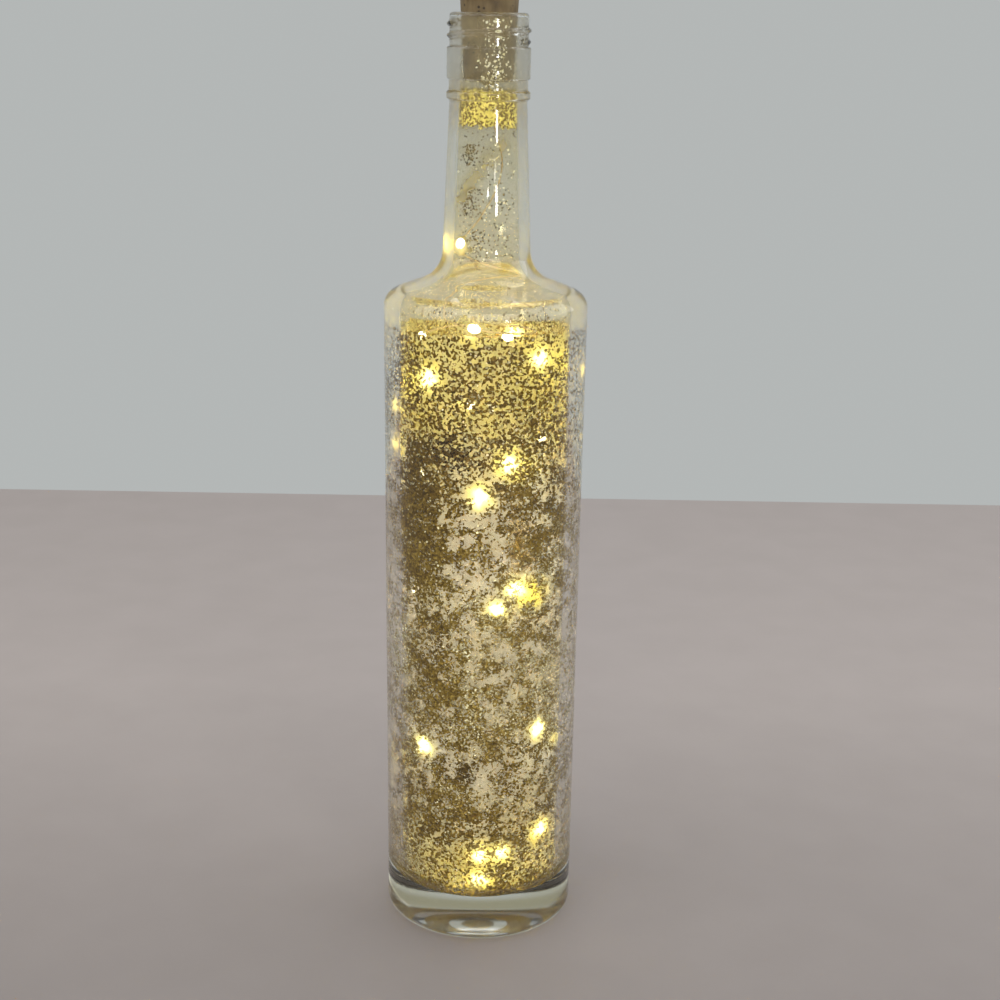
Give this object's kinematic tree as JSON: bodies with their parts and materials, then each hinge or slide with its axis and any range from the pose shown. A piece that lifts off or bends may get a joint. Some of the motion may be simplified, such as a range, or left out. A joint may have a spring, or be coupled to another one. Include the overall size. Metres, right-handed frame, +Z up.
{
  "type": "cork bottle light",
  "caption": "Tall clear glass bottle with a gold-glittered inside, a string of warm lights wound in it and a lamp cork in its mouth.",
  "frame": {"origin": "centre of the bottle's base, on the surface it stands on", "axes": "+Z up along the bottle's axis; -Y faces the picture's viewer, +X to the viewer's right"},
  "size_m": [0.0706, 0.0706, 0.3484],
  "materials": {
    "bottle_glass": "clear, thick, very faint green",
    "gold_glitter": "gold flakes in clear varnish, patchy",
    "cork_plastic": "moulded, cork-brown with darker grain",
    "screw_steel": "plated steel",
    "button_plastic": "satin black",
    "switch_plastic": "black moulded",
    "board_laminate": "green solder mask",
    "resistor_ceramic": "black chip with tinned ends",
    "contact_brass": "pressed sheet",
    "cell_steel": "polished can",
    "sleeve_paper": "pale insulating paper",
    "clear_resin": "clear potting resin",
    "copper_wire": "lacquered copper, two strands",
    "lamp_resin": "clear resin drop, lit warm white"
  },
  "bodies": {
    "bottle": {"glass_bottle": "bottle_glass", "glitter_coat": "gold_glitter", "neck_glitter_band": "gold_glitter", "light_wire": "copper_wire", "led_bead_01": "lamp_resin", "led_bead_02": "lamp_resin", "led_bead_03": "lamp_resin", "led_bead_04": "lamp_resin", "led_bead_05": "lamp_resin", "led_bead_06": "lamp_resin", "led_bead_07": "lamp_resin", "led_bead_08": "lamp_resin", "led_bead_09": "lamp_resin", "led_bead_10": "lamp_resin", "led_bead_11": "lamp_resin", "led_bead_12": "lamp_resin", "led_bead_13": "lamp_resin", "led_bead_14": "lamp_resin", "led_bead_15": "lamp_resin", "led_bead_16": "lamp_resin", "led_bead_17": "lamp_resin", "led_bead_18": "lamp_resin", "led_bead_19": "lamp_resin", "led_bead_20": "lamp_resin"},
    "cork": {"cork_shell": "cork_plastic", "button_cell_1": "cell_steel", "button_cell_2": "cell_steel", "button_cell_3": "cell_steel", "contact_spring": "screw_steel", "lower_contact": "contact_brass", "contact_strip": "contact_brass", "cell_sleeve": "sleeve_paper", "wire_gland": "clear_resin", "lead_wire": "copper_wire"},
    "lid": {"cork_lid": "cork_plastic", "lid_screws": "screw_steel", "switch_body": "switch_plastic", "circuit_board": "board_laminate", "current_resistor": "resistor_ceramic", "upper_contact": "contact_brass"},
    "button": {"switch_button": "button_plastic"}
  },
  "joints": [
    {"name": "cork_lift", "type": "slide", "parent": "bottle", "child": "cork", "axis": [0, 0, 1], "range_m": [0, 0.028]},
    {"name": "lid_lift", "type": "slide", "parent": "cork", "child": "lid", "axis": [0, 0, 1], "range_m": [0, 0.018]},
    {"name": "button_press", "type": "slide", "parent": "lid", "child": "button", "axis": [0, 0, -1], "range_m": [0, 0.0012], "stiffness_N_per_m": 800}
  ]
}
